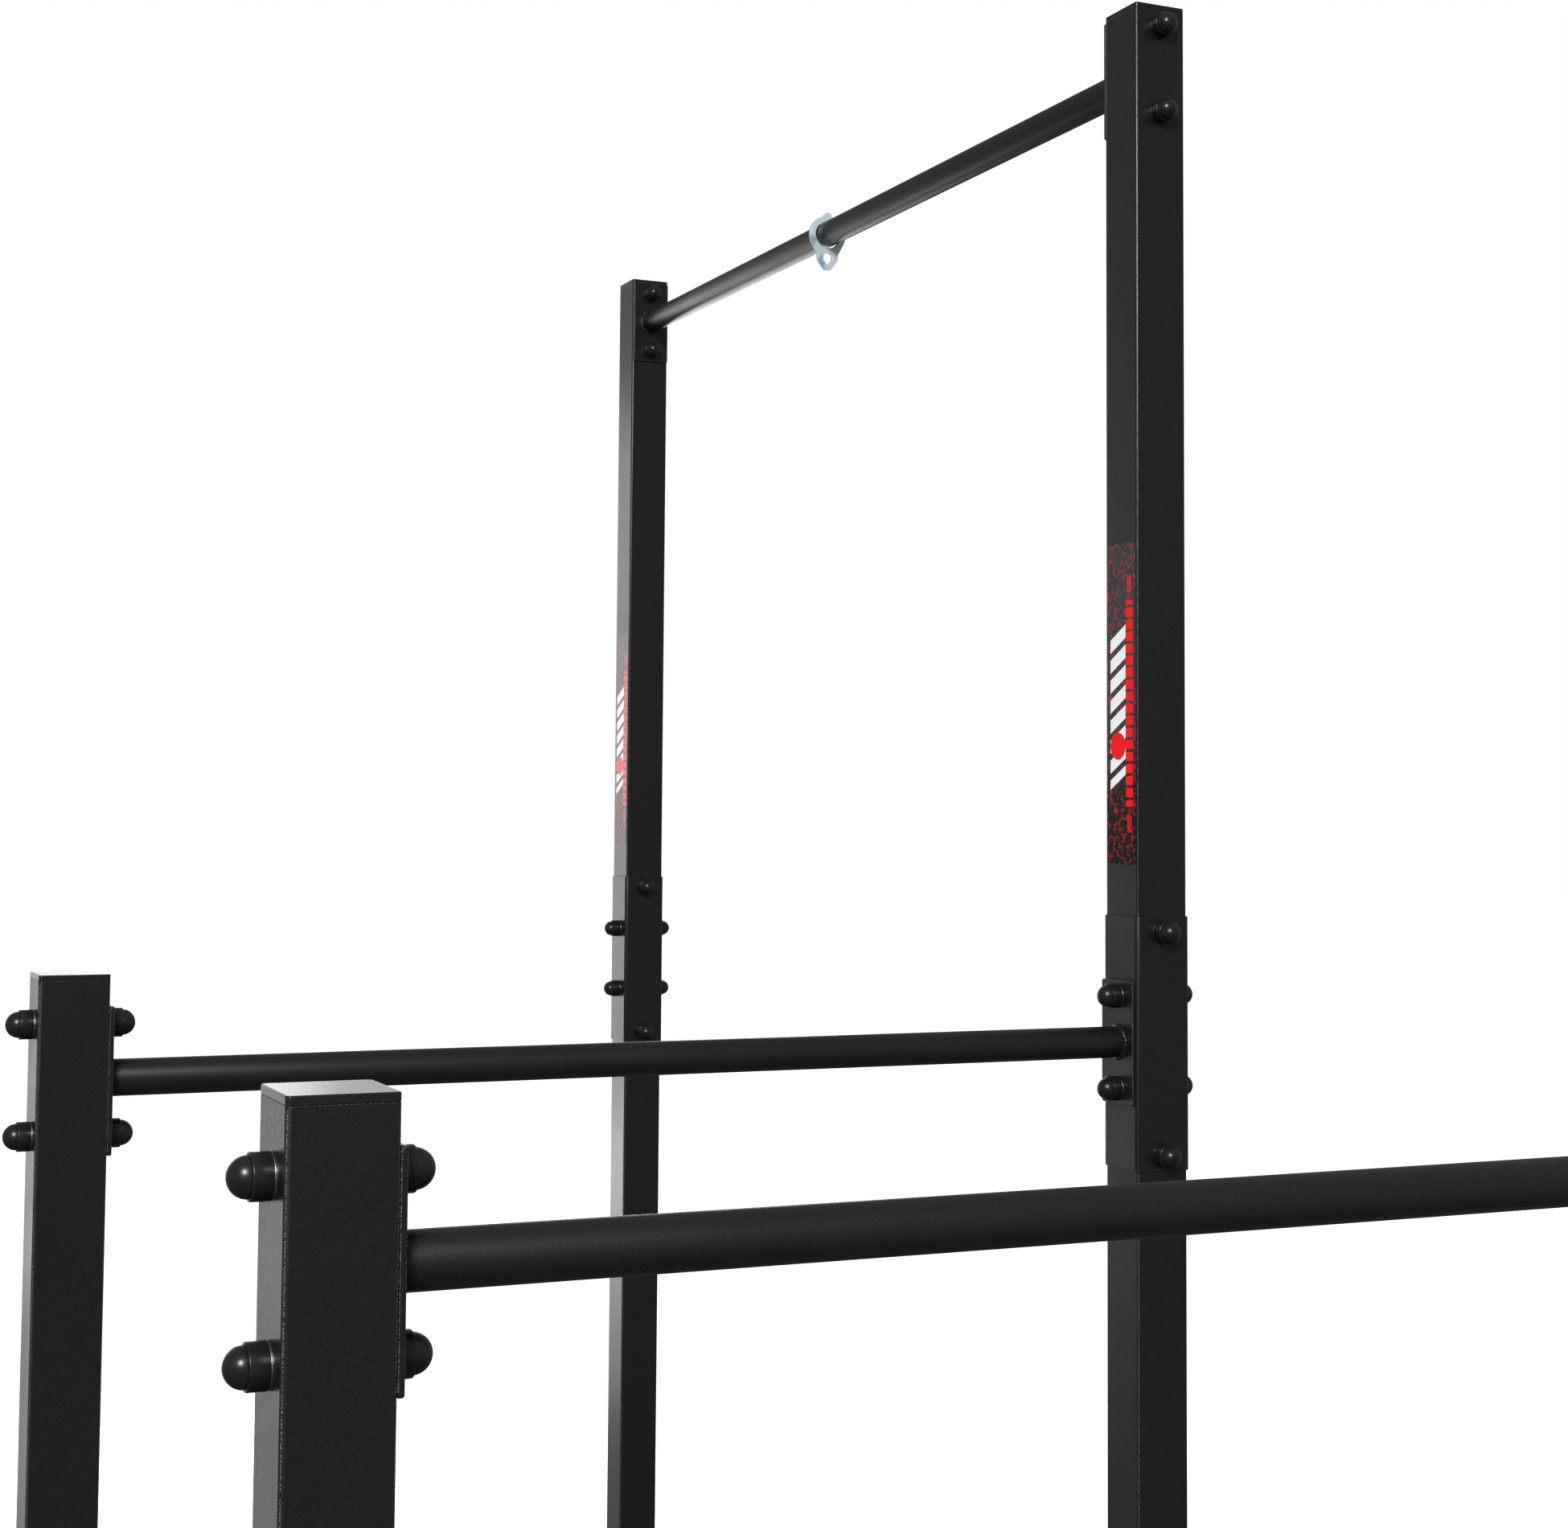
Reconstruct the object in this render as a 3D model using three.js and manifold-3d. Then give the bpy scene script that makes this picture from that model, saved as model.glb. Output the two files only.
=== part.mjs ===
// Outdoor calisthenics station: a pull-up bar between two tall posts, one dip bar that runs from the
// right tall post to a short post, and a second, free-standing dip bar between two more short posts.
// Millimetres, +Z up. +X runs along the pull-up bar, the dip bars run along Y, and the origin is on the
// floor at the middle of the footprint.
import * as THREE from "three";
import { mergeVertices } from "three/addons/utils/BufferGeometryUtils.js";
import Module from "manifold-3d";

const wasm = await Module();
wasm.setup();

// ---------------------------------------------------------------- driving dimensions
const PULL_UP_SPAN = 1455; // between the tall posts' centre lines
const DIP_SPAN = 1095; // between the posts' centre lines at the two ends of a dip bar
const DIP_LANE = 908; // between the two dip bars
const TALL_HEIGHT = 2180; // floor to the top of the tall posts' end caps
const SHORT_HEIGHT = 1182; // floor to the top of the short posts' end caps
const DIP_AXIS_Z = 1091; // dip bar axis, and the joint between the halves of a tall post
const PULL_UP_AXIS_Z = TALL_HEIGHT - 69;

const POST = { side: 60, wall: 2, corner: 3 };
const SLEEVE = { gap: 0.25, wall: 1.75, length: 260, boltPitchX: 228 };
const FLANGE = { width: 58, height: 127, thickness: 4, corner: 2.5, vent: 6 };
const PULL_UP_BAR = { radius: 16.85, wall: 2.6, boltPitch: 92 };
const DIP_BAR = { radius: 16.1, wall: 2.6, boltPitch: 95 };
const WELD = 3.5; // leg of the fillet weld round each bar end
const BASE = { side: 140, thickness: 6, corner: 8, holeRadius: 7, holePitch: 104 };
const END_CAP = { lip: 5.2, plugDepth: 9, plugWall: 2.4, plugGap: 0.3, plugCorner: 1 };
const STICKER = { width: 54, height: 335, thickness: 0.3, corner: 4, topBelowPostTop: 571 };
const FASTENER = {
  shankRadius: 6,
  holeRadius: 6.5,
  washerRadius: 12.2,
  washerShows: 0.6,
  skirtRadius: 12.65,
  skirtEdge: 0.8,
  domeRadius: 11.2,
  headSkirt: 12,
  nutSkirt: 11.2,
  threadPastFace: 8.5,
  boreDepth: 11,
  sides: 10,
};
const HANGER = {
  thickness: 6,
  holeRadius: 18,
  drop: 0.85, // the hole's centre hangs this far below the bar's axis
  ringRadius: 26.2,
  lobeCentre: 25.8,
  lobeRadius: 5.3,
  tabHalfWidth: 15,
  tabTop: -27,
  tabShoulder: -34,
  tabSoftening: 2.6, // how far the rounding of a tab corner reaches along its sides
  tipCentre: -40.8,
  tipRadius: 7.8,
  eyeCentre: -31.4,
  eyeRadius: 6.8,
  eyePoint: -41.4,
  fromLeftPost: 682,
};
const SINK = 1; // how far pieces that are welded or moulded as one are drawn into each other
const THROUGH = 4 * POST.side; // a cutter longer than anything it cuts
const TUBE_SIDES = 20;
const CORNER_STEPS = 2;
const HANGER_STEPS = 12;

const half = {
  post: POST.side / 2,
  sleeve: POST.side / 2 + SLEEVE.gap + SLEEVE.wall,
  dipPitch: DIP_BAR.boltPitch / 2,
  pullPitch: PULL_UP_BAR.boltPitch / 2,
  sleevePitch: SLEEVE.boltPitchX / 2,
};
const X_LEFT = -(PULL_UP_SPAN + DIP_LANE) / 2;
const X_RIGHT = X_LEFT + PULL_UP_SPAN;
const X_FREE = X_RIGHT + DIP_LANE;
const Y_TALL = DIP_SPAN / 2;
const Y_SHORT = -DIP_SPAN / 2;

// ---------------------------------------------------------------- materials
const coat = new THREE.MeshStandardMaterial({ color: 0x1c1c1d, roughness: 0.5, metalness: 0.1 });
const capPlastic = new THREE.MeshStandardMaterial({ color: 0x191919, roughness: 0.42, metalness: 0 });
const coverPlastic = new THREE.MeshStandardMaterial({ color: 0x0f0f10, roughness: 0.25, metalness: 0 });
const zinc = new THREE.MeshStandardMaterial({ color: 0xb4c6d2, roughness: 0.28, metalness: 0.9 });
const print = new THREE.MeshStandardMaterial({ color: 0x2a2f35, roughness: 0.35, metalness: 0 });

// ---------------------------------------------------------------- helpers
// A rectangle with rounded corners, centred on the origin.
function roundedRect(width, height, radius, Path = THREE.Shape) {
  const x = width / 2 - radius;
  const y = height / 2 - radius;
  const path = new Path();
  path.absarc(x, y, radius, 0, Math.PI / 2);
  path.absarc(-x, y, radius, Math.PI / 2, Math.PI);
  path.absarc(-x, -y, radius, Math.PI, 1.5 * Math.PI);
  path.absarc(x, -y, radius, 1.5 * Math.PI, 2 * Math.PI);
  path.closePath();
  return path;
}

function circle(radius, Path = THREE.Shape) {
  return new Path().absarc(0, 0, radius, 0, 2 * Math.PI);
}

function extrude(shape, depth, curveSegments = CORNER_STEPS) {
  return new THREE.ExtrudeGeometry(shape, { depth, curveSegments, bevelEnabled: false });
}

// A straight tube wall along +Z: an outline with a hole of another outline.
function hollow(outer, inner, depth, curveSegments = CORNER_STEPS) {
  outer.holes.push(inner);
  return extrude(outer, depth, curveSegments);
}

// A profile of [radius, height] points turned about the Y axis.
function lathe(sides, points) {
  return new THREE.LatheGeometry(
    points.map(([radius, y]) => new THREE.Vector2(radius, y)),
    sides,
  );
}

function solid(geometry) {
  const bare = geometry.clone();
  bare.deleteAttribute("normal");
  bare.deleteAttribute("uv");
  const merged = mergeVertices(bare, 1e-4);
  return new wasm.Manifold(
    new wasm.Mesh({
      numProp: 3,
      vertProperties: merged.attributes.position.array,
      triVerts: new Uint32Array(merged.index.array),
    }),
  );
}

function geometryOf(manifold) {
  const mesh = manifold.getMesh();
  const indexed = new THREE.BufferGeometry()
    .setAttribute("position", new THREE.BufferAttribute(mesh.vertProperties, 3))
    .setIndex(new THREE.BufferAttribute(mesh.triVerts, 1));
  const flat = indexed.toNonIndexed();
  flat.computeVertexNormals();
  return flat;
}

const join = (...parts) => geometryOf(parts.map(solid).reduce((a, b) => a.add(b)));
const cut = (body, tools) => geometryOf(tools.map(solid).reduce((a, b) => a.subtract(b), solid(body)));

// A round cutter, centred on a point, along x, y or z.
function drill(axis, radius, length, x, y, z) {
  const tool = new THREE.CylinderGeometry(radius, radius, length, FASTENER.sides);
  if (axis === "x") tool.rotateZ(Math.PI / 2);
  if (axis === "z") tool.rotateX(Math.PI / 2);
  return tool.translate(x, y, z);
}

const boltHole = (axis, z) => drill(axis, FASTENER.holeRadius, THROUGH, 0, 0, z);

const station = new THREE.Group();
station.name = "calisthenics_station";

function place(name, geometry, material, x = 0, y = 0, z = 0) {
  const mesh = new THREE.Mesh(geometry, material);
  mesh.name = name;
  mesh.position.set(x, y, z);
  station.add(mesh);
  return mesh;
}

// ---------------------------------------------------------------- posts
// Square tube from one height to another, standing on the Z axis.
function postTube(fromZ, toZ) {
  const inner = POST.side - 2 * POST.wall;
  return hollow(
    roundedRect(POST.side, POST.side, POST.corner),
    roundedRect(inner, inner, POST.corner - POST.wall, THREE.Path),
    toZ - fromZ,
  ).translate(0, 0, fromZ);
}

function basePlate() {
  const plate = extrude(roundedRect(BASE.side, BASE.side, BASE.corner), BASE.thickness);
  const offset = BASE.holePitch / 2;
  const anchors = [-offset, offset].flatMap((x) =>
    [-offset, offset].map((y) => drill("z", BASE.holeRadius, THROUGH, x, y, 0)),
  );
  return cut(plate, anchors);
}

const tubeTop = (height) => height - END_CAP.lip;
const dipBoltZs = [DIP_AXIS_Z + half.dipPitch, DIP_AXIS_Z - half.dipPitch];
const pullBoltZs = [PULL_UP_AXIS_Z + half.pullPitch, PULL_UP_AXIS_Z - half.pullPitch];
const sleeveBoltZs = [DIP_AXIS_Z + half.sleevePitch, DIP_AXIS_Z - half.sleevePitch];

for (const [side, x] of [["left", X_LEFT], ["right", X_RIGHT]]) {
  const upperHoles = [
    ...pullBoltZs.map((z) => boltHole("x", z)),
    boltHole("x", sleeveBoltZs[0]),
    boltHole("y", dipBoltZs[0]),
  ];
  const upper = cut(postTube(DIP_AXIS_Z, tubeTop(TALL_HEIGHT)), upperHoles);
  place(`tall_post_${side}_upper`, upper, coat, x, Y_TALL);

  const lowerHoles = [boltHole("x", sleeveBoltZs[1]), boltHole("y", dipBoltZs[1])];
  const lower = cut(postTube(BASE.thickness, DIP_AXIS_Z), lowerHoles);
  place(`tall_post_${side}_lower`, join(lower, basePlate()), coat, x, Y_TALL);
}

const shortPosts = { fixed: [X_RIGHT, Y_SHORT], free_front: [X_FREE, Y_SHORT], free_rear: [X_FREE, Y_TALL] };
for (const [which, [x, y]] of Object.entries(shortPosts)) {
  const tube = cut(postTube(BASE.thickness, tubeTop(SHORT_HEIGHT)), dipBoltZs.map((z) => boltHole("y", z)));
  place(`short_post_${which}`, join(tube, basePlate()), coat, x, y);
}

// ---------------------------------------------------------------- coupler sleeves
for (const [side, x] of [["left", X_LEFT], ["right", X_RIGHT]]) {
  const inner = POST.side + 2 * SLEEVE.gap;
  const innerCorner = POST.corner + SLEEVE.gap;
  const wall = hollow(
    roundedRect(2 * half.sleeve, 2 * half.sleeve, innerCorner + SLEEVE.wall),
    roundedRect(inner, inner, innerCorner, THREE.Path),
    SLEEVE.length,
  ).translate(0, 0, DIP_AXIS_Z - SLEEVE.length / 2);
  const holes = [...sleeveBoltZs.map((z) => boltHole("x", z)), ...dipBoltZs.map((z) => boltHole("y", z))];
  place(`coupler_sleeve_${side}`, cut(wall, holes), coat, x, Y_TALL);
}

// ---------------------------------------------------------------- end caps
// A square lid with a short hollow plug that sits in the tube's mouth.
function endCap() {
  const plug = POST.side - 2 * (POST.wall + END_CAP.plugGap);
  const mouth = plug - 2 * END_CAP.plugWall;
  const lid = extrude(roundedRect(POST.side, POST.side, POST.corner), END_CAP.lip);
  const walls = hollow(
    roundedRect(plug, plug, END_CAP.plugCorner),
    roundedRect(mouth, mouth, END_CAP.plugCorner, THREE.Path),
    END_CAP.plugDepth + SINK,
  ).translate(0, 0, -END_CAP.plugDepth);
  return join(lid, walls);
}

const capSeats = {
  tall_left: [X_LEFT, Y_TALL, TALL_HEIGHT],
  tall_right: [X_RIGHT, Y_TALL, TALL_HEIGHT],
  short_fixed: [X_RIGHT, Y_SHORT, SHORT_HEIGHT],
  short_free_front: [X_FREE, Y_SHORT, SHORT_HEIGHT],
  short_free_rear: [X_FREE, Y_TALL, SHORT_HEIGHT],
};
for (const [which, [x, y, top]] of Object.entries(capSeats))
  place(`end_cap_${which}`, endCap(), capPlastic, x, y, tubeTop(top));

// ---------------------------------------------------------------- bars
// One end of a bar along +Z: the flange plate on z = 0..thickness and the fillet weld above it.
function barEnd(bar) {
  const pitch = bar.boltPitch / 2;
  const plate = cut(extrude(roundedRect(FLANGE.width, FLANGE.height, FLANGE.corner), FLANGE.thickness), [
    drill("z", FASTENER.holeRadius, THROUGH, 0, pitch, 0),
    drill("z", FASTENER.holeRadius, THROUGH, 0, -pitch, 0),
    drill("z", FLANGE.vent, THROUGH, 0, 0, 0),
  ]);
  const inside = bar.radius - SINK;
  const under = FLANGE.thickness - SINK;
  const bead = lathe(TUBE_SIDES, [
    [inside, under],
    [bar.radius + WELD, under],
    [bar.radius + WELD, FLANGE.thickness],
    [bar.radius, FLANGE.thickness + WELD],
    [inside, FLANGE.thickness + WELD],
    [inside, under],
  ]);
  return join(plate, bead.rotateX(Math.PI / 2));
}

// A tube with a flange plate welded on each end, along +Z, with the plates' height along Y.
function flangedBar(bar, length) {
  const tube = hollow(
    circle(bar.radius),
    circle(bar.radius - bar.wall, THREE.Path),
    length - 2 * (FLANGE.thickness - SINK),
    TUBE_SIDES / 2,
  ).translate(0, 0, FLANGE.thickness - SINK);
  const near = barEnd(bar);
  const far = barEnd(bar).rotateY(Math.PI).translate(0, 0, length);
  return join(near, tube, far);
}

// The plates' height ends up along Z in both directions.
const alongX = (geometry) => geometry.rotateX(Math.PI / 2).rotateZ(Math.PI / 2);
const alongY = (geometry) => geometry.rotateX(-Math.PI / 2);

const pullStart = X_LEFT + half.post;
const pullLength = PULL_UP_SPAN - POST.side;
place("pull_up_bar", alongX(flangedBar(PULL_UP_BAR, pullLength)), coat, pullStart, Y_TALL, PULL_UP_AXIS_Z);

const dipStart = Y_SHORT + half.post;
const dipFixedLength = Y_TALL - half.sleeve - dipStart;
const dipFreeLength = DIP_SPAN - POST.side;
place("dip_bar_fixed", alongY(flangedBar(DIP_BAR, dipFixedLength)), coat, X_RIGHT, dipStart, DIP_AXIS_Z);
place("dip_bar_free", alongY(flangedBar(DIP_BAR, dipFreeLength)), coat, X_FREE, dipStart, DIP_AXIS_Z);

// ---------------------------------------------------------------- covered through-bolts
// The outside of a covered bolt end: washer edge, cover skirt and dome, from the face outwards.
function coverProfile(skirt) {
  const dome = [Math.PI / 6, Math.PI / 3].map((angle) => [
    FASTENER.domeRadius * Math.cos(angle),
    skirt + FASTENER.domeRadius * Math.sin(angle),
  ]);
  return [
    [FASTENER.washerRadius, 0],
    [FASTENER.washerRadius, FASTENER.washerShows],
    [FASTENER.skirtRadius, FASTENER.washerShows],
    [FASTENER.skirtRadius, skirt - FASTENER.skirtEdge],
    [FASTENER.domeRadius, skirt],
    ...dome,
    [0, skirt + FASTENER.domeRadius],
  ];
}

// Bolt with its washer and cover: the face it bears on is y = 0, and the shank runs towards -y.
const boltGeometry = (shankLength) =>
  lathe(FASTENER.sides, [
    [0, -shankLength],
    [FASTENER.shankRadius, -shankLength],
    [FASTENER.shankRadius, 0],
    ...coverProfile(FASTENER.headSkirt),
  ]);

// Nut with its washer and cover, open towards -y for the end of the bolt.
const nutGeometry = () =>
  lathe(FASTENER.sides, [
    [0, FASTENER.boreDepth],
    [FASTENER.holeRadius, FASTENER.boreDepth],
    [FASTENER.holeRadius, 0],
    ...coverProfile(FASTENER.nutSkirt),
  ]);

// A through-bolt across a post. headSide is +1 or -1 along the axis; head and nut are the distances
// from the post's centre line to the faces under the two washers.
function throughBolt(name, axis, headSide, x, y, z, head, nut) {
  const towards = { x: -Math.PI / 2, y: 0 }[axis];
  const group = new THREE.Group();
  group.position.set(x, y, z);
  group.rotation.z = towards + (headSide < 0 ? Math.PI : 0);
  const bolt = new THREE.Mesh(boltGeometry(head + nut + FASTENER.threadPastFace), coverPlastic);
  bolt.name = `bolt_${name}`;
  bolt.position.y = head;
  const cover = new THREE.Mesh(nutGeometry(), coverPlastic);
  cover.name = `nut_${name}`;
  cover.position.y = -nut;
  cover.rotation.z = Math.PI;
  group.add(bolt, cover);
  station.add(group);
}

const onPost = half.post;
const onSleeve = half.sleeve;
const pastPost = half.post + FLANGE.thickness;
const pastSleeve = half.sleeve + FLANGE.thickness;
const rows = [
  ["pull_up_left", "x", -1, X_LEFT, Y_TALL, pullBoltZs, onPost, pastPost],
  ["pull_up_right", "x", 1, X_RIGHT, Y_TALL, pullBoltZs, onPost, pastPost],
  ["sleeve_left_x", "x", 1, X_LEFT, Y_TALL, sleeveBoltZs, onSleeve, onSleeve],
  ["sleeve_right_x", "x", 1, X_RIGHT, Y_TALL, sleeveBoltZs, onSleeve, onSleeve],
  ["sleeve_left_y", "y", -1, X_LEFT, Y_TALL, dipBoltZs, onSleeve, onSleeve],
  ["dip_fixed_tall", "y", 1, X_RIGHT, Y_TALL, dipBoltZs, onSleeve, pastSleeve],
  ["dip_fixed_short", "y", -1, X_RIGHT, Y_SHORT, dipBoltZs, onPost, pastPost],
  ["dip_free_front", "y", -1, X_FREE, Y_SHORT, dipBoltZs, onPost, pastPost],
  ["dip_free_rear", "y", 1, X_FREE, Y_TALL, dipBoltZs, onPost, pastPost],
];
for (const [name, axis, headSide, x, y, heights, head, nut] of rows)
  heights.forEach((z, i) =>
    throughBolt(`${name}_${i ? "lower" : "upper"}`, axis, headSide, x, y, z, head, nut),
  );

// ---------------------------------------------------------------- accessory hanger on the pull-up bar
// Straight sides through some corners, each corner rounded off by a curve of the given reach.
function softCorners(shape, from, corners, to, reach) {
  const stops = [from, ...corners, to];
  corners.forEach(([x, y], i) => {
    const [start, end] = [stops[i], stops[i + 2]].map(([otherX, otherY]) => {
      const share = reach / Math.hypot(otherX - x, otherY - y);
      return [x + (otherX - x) * share, y + (otherY - y) * share];
    });
    shape.lineTo(...start);
    shape.quadraticCurveTo(x, y, ...end);
  });
}

// Flat plate in the YZ plane: a ring round the bar, a small lobe on top and a tapered tab below with a
// drop-shaped eye. Drawn in the plane with x across and y up, from the ring's centre.
function hangerOutline() {
  const h = HANGER;
  const shape = new THREE.Shape();
  // The lobe meets the ring where the two circles cross.
  const d = h.lobeCentre;
  const meetY = (h.ringRadius ** 2 - h.lobeRadius ** 2 + d ** 2) / (2 * d);
  const meetX = Math.sqrt(h.ringRadius ** 2 - meetY ** 2);
  const ringAngle = Math.atan2(meetY, meetX);
  const lobeAngle = Math.atan2(meetY - d, meetX);
  // The ring runs down to where its tangent aims at the top of the tab.
  const reach = Math.hypot(h.tabHalfWidth, h.tabTop);
  const sideAngle = Math.atan2(h.tabTop, h.tabHalfWidth) + Math.acos(h.ringRadius / reach);
  // The tab's sloping side is tangent to the round tip.
  const dx = h.tabHalfWidth;
  const dy = h.tabShoulder - h.tipCentre;
  const tipAngle = Math.atan2(dy, dx) - Math.acos(h.tipRadius / Math.hypot(dx, dy));
  // The right side's ends of the straight lines; the left side mirrors them.
  const onRing = [h.ringRadius * Math.cos(sideAngle), h.ringRadius * Math.sin(sideAngle)];
  const onTip = [h.tipRadius * Math.cos(tipAngle), h.tipCentre + h.tipRadius * Math.sin(tipAngle)];
  const tabCorners = [[h.tabHalfWidth, h.tabTop], [h.tabHalfWidth, h.tabShoulder]];
  const mirror = ([x, y]) => [-x, y];
  shape.absarc(0, 0, h.ringRadius, sideAngle, ringAngle);
  shape.absarc(0, d, h.lobeRadius, lobeAngle, Math.PI - lobeAngle);
  shape.absarc(0, 0, h.ringRadius, Math.PI - ringAngle, Math.PI - sideAngle);
  softCorners(shape, mirror(onRing), tabCorners.map(mirror), mirror(onTip), h.tabSoftening);
  shape.absarc(0, h.tipCentre, h.tipRadius, Math.PI - tipAngle, 2 * Math.PI + tipAngle);
  softCorners(shape, onTip, tabCorners.toReversed(), onRing, h.tabSoftening);
  shape.closePath();

  const ring = circle(h.holeRadius, THREE.Path);
  const eyeAngle = Math.acos(h.eyeRadius / (h.eyeCentre - h.eyePoint));
  const eye = new THREE.Path();
  eye.moveTo(0, h.eyePoint);
  eye.absarc(0, h.eyeCentre, h.eyeRadius, -Math.PI / 2 + eyeAngle, 1.5 * Math.PI - eyeAngle);
  eye.closePath();
  shape.holes.push(ring, eye);
  return shape;
}

const hanger = extrude(hangerOutline(), HANGER.thickness, HANGER_STEPS)
  .translate(0, 0, -HANGER.thickness / 2)
  .rotateX(Math.PI / 2)
  .rotateZ(Math.PI / 2);
place("bar_hanger", hanger, zinc, X_LEFT + HANGER.fromLeftPost, Y_TALL, PULL_UP_AXIS_Z - HANGER.drop);

// ---------------------------------------------------------------- stickers
const sticker = extrude(roundedRect(STICKER.width, STICKER.height, STICKER.corner), STICKER.thickness)
  .rotateX(Math.PI / 2)
  .translate(0, -half.post, TALL_HEIGHT - STICKER.topBelowPostTop - STICKER.height / 2);
place("sticker_left", sticker, print, X_LEFT, Y_TALL);
place("sticker_right", sticker.clone(), print, X_RIGHT, Y_TALL);

export default station;
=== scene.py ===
"""Looks of an outdoor calisthenics station: powder-coated square posts, a pull-up bar, two dip bars,
domed bolt covers, plastic end caps, a zinc-plated hanger plate and two printed stickers.

Everything is in metres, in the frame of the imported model: +X along the pull-up bar, dip bars along Y.
"""

import math
import random

import bmesh
import bpy
from mathutils import Matrix, Vector


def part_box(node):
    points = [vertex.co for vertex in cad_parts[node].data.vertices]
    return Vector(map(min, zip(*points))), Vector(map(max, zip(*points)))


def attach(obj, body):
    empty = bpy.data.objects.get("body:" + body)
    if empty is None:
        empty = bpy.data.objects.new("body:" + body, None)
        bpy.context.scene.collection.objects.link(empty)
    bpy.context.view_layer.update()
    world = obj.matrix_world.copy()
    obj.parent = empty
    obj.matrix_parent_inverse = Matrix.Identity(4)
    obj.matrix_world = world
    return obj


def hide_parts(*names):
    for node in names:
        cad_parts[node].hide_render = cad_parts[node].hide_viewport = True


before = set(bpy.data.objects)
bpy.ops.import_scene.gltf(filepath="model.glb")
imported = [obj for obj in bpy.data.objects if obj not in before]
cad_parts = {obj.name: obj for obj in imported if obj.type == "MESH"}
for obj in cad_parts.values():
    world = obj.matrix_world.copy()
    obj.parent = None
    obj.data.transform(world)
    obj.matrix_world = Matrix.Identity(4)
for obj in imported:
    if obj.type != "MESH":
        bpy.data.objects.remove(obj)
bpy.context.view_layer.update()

MM = 0.001

# ---------------------------------------------------------------- sizes
BASE_THICKNESS = 6 * MM
POST_SIDE = 60 * MM
POST_WALL = 2 * MM
POST_CORNER = 3 * MM
SLEEVE_WALL = 1.75 * MM
SLEEVE_CORNER = 5 * MM
BASE_CORNER = 8 * MM
ANCHOR_RADIUS = 7 * MM
ANCHOR_PITCH = 104 * MM
CAP_LIP = 5.2 * MM
CAP_PLUG_DEPTH = 9 * MM
CAP_PLUG_WALL = 2.4 * MM
CAP_PLUG_GAP = 0.3 * MM
CAP_PLUG_CORNER = 1 * MM
FLANGE_WIDTH = 58 * MM
FLANGE_HEIGHT = 127 * MM
FLANGE_THICKNESS = 4 * MM
FLANGE_CORNER = 2.5 * MM
VENT_RADIUS = 6 * MM
BOLT_HOLE_RADIUS = 6.5 * MM
BAR_WALL = 2.6 * MM
PULL_UP_BAR_RADIUS = 16.85 * MM
DIP_BAR_RADIUS = 16.1 * MM
PULL_UP_BOLT_PITCH = 92 * MM
DIP_BOLT_PITCH = 95 * MM
WELD_LEG = 3.1 * MM
WELD_STEP = 0.55 * MM
BASE_WELD_LEG = 4.5 * MM
BASE_WELD_STEP = 0.65 * MM
SHANK_RADIUS = 5.9 * MM
HEX_FLATS = 18 * MM
HEX_CHAMFER = 0.8 * MM
WASHER_THICKNESS = 0.62 * MM
COVER_RADIUS = 12.65 * MM
COVER_DOME = 11.2 * MM
HEAD_SKIRT = 12 * MM
NUT_SKIRT = 11.2 * MM
HANGER_HOLE = 18.1 * MM
HANGER_DROP = 0.85 * MM  # from the bar's axis to the hole's, which leaves 0.4 mm over the bar
HANGER_EDGE = 0.6 * MM
SHEET_EDGE = 0.4 * MM  # rounding of cut sheet and tube edges under the coat
PLATE_EDGE = 0.7 * MM
FLANGE_EDGE = 1.1 * MM
HIDDEN = 0.5 * MM  # how far a weld is sunk into what it joins

# ---------------------------------------------------------------- places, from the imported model
left_lo, left_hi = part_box("tall_post_left_lower")
right_lo, right_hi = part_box("tall_post_right_lower")
free_lo, free_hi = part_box("short_post_free_front")
X_LEFT = (left_lo.x + left_hi.x) / 2
X_RIGHT = (right_lo.x + right_hi.x) / 2
X_FREE = (free_lo.x + free_hi.x) / 2
Y_TALL = (left_lo.y + left_hi.y) / 2
Y_SHORT = (free_lo.y + free_hi.y) / 2
JOINT_Z = left_hi.z
BASE_SIDE = left_hi.x - left_lo.x
HALF_SLEEVE = (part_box("coupler_sleeve_left")[1].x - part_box("coupler_sleeve_left")[0].x) / 2


def middle(node):
    """The centre of a CAD node's box."""
    lo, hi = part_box(node)
    return (lo + hi) / 2


PULL_UP_Z = middle("pull_up_bar").z


# ---------------------------------------------------------------- node helpers
# The Mix node's colour sockets, by number because they share their names with others.
COLOUR_A, COLOUR_B, COLOUR_RESULT = 6, 7, 2


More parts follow.
